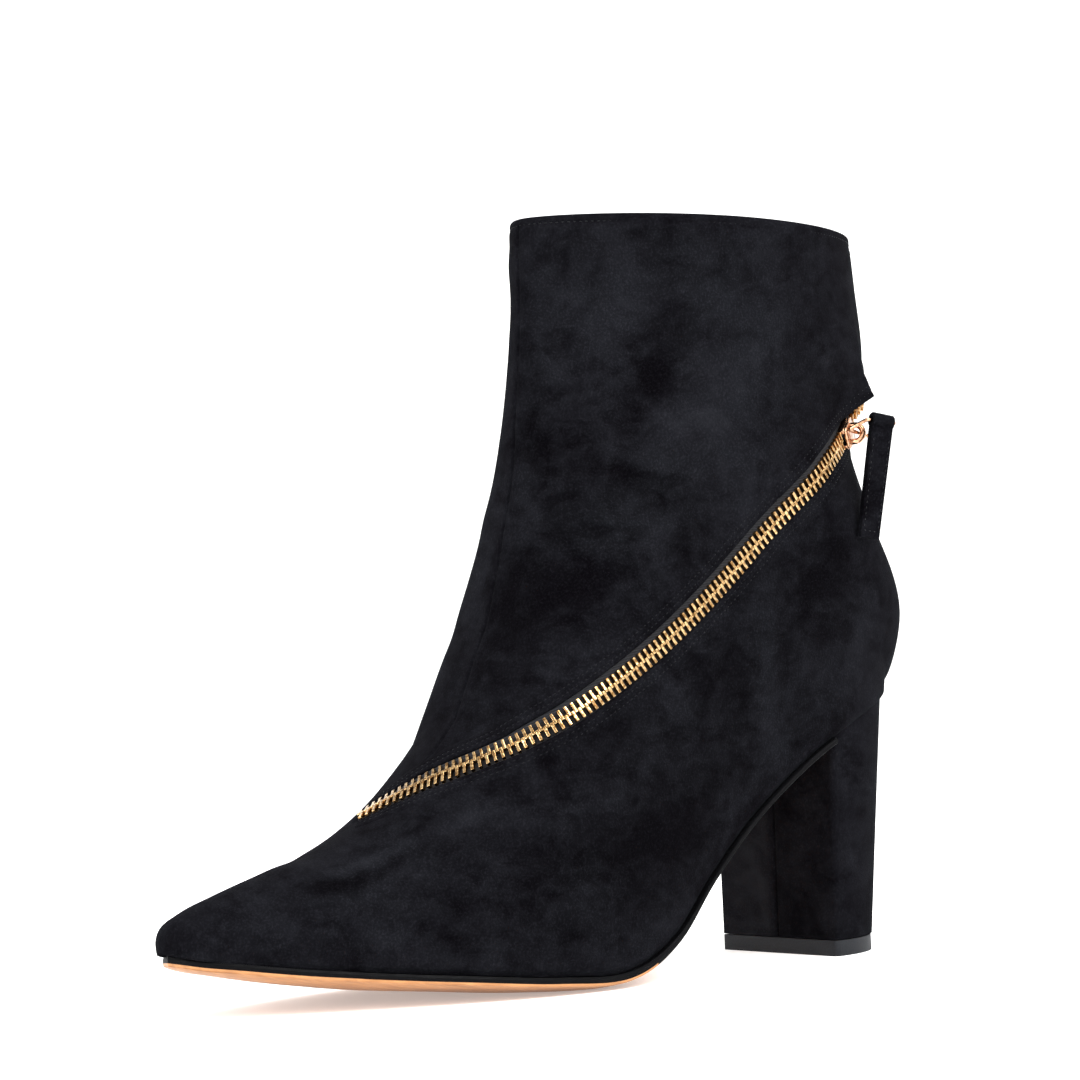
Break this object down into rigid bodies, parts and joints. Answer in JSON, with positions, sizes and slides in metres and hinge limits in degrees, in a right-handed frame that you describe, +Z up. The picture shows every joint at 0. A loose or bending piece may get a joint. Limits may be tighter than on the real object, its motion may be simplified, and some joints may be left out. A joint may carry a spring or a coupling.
{
  "type": "ankle boot",
  "caption": "Pointed-toe suede ankle boot for the left foot with a block heel, a diagonal metal zip round its outer side, and a hinged pull that hangs from the slider.",
  "frame": {"origin": "middle of the bounding box on the floor", "axes": "toe along -Y, outer side of the foot along +X, up along +Z"},
  "size_m": [0.081, 0.2572, 0.2166],
  "materials": {
    "suede": "near-black suede with a short nap",
    "sole_leather": "tan sole with a black painted edge",
    "lining": "matt black lining",
    "lift_rubber": "dark grey rubber",
    "zip_tape": "black woven tape",
    "gold_metal": "polished pale gold"
  },
  "bodies": {
    "boot": {"upper": "suede", "outsole": "sole_leather", "insole": "lining", "heel_block": "suede", "heel_lift": "lift_rubber", "zip_tape": "zip_tape", "zip_chain": "gold_metal", "zip_slider": "gold_metal"},
    "zip_pull": {"pull_link": "gold_metal", "pull_tab": "suede"}
  },
  "joints": [
    {"name": "pull_swing", "type": "hinge", "parent": "boot", "child": "zip_pull", "pos_m": [0.02695, 0.09668, 0.15306], "axis": [0.3119, -0.9372, 0.1564], "range_deg": [0, 68]}
  ]
}
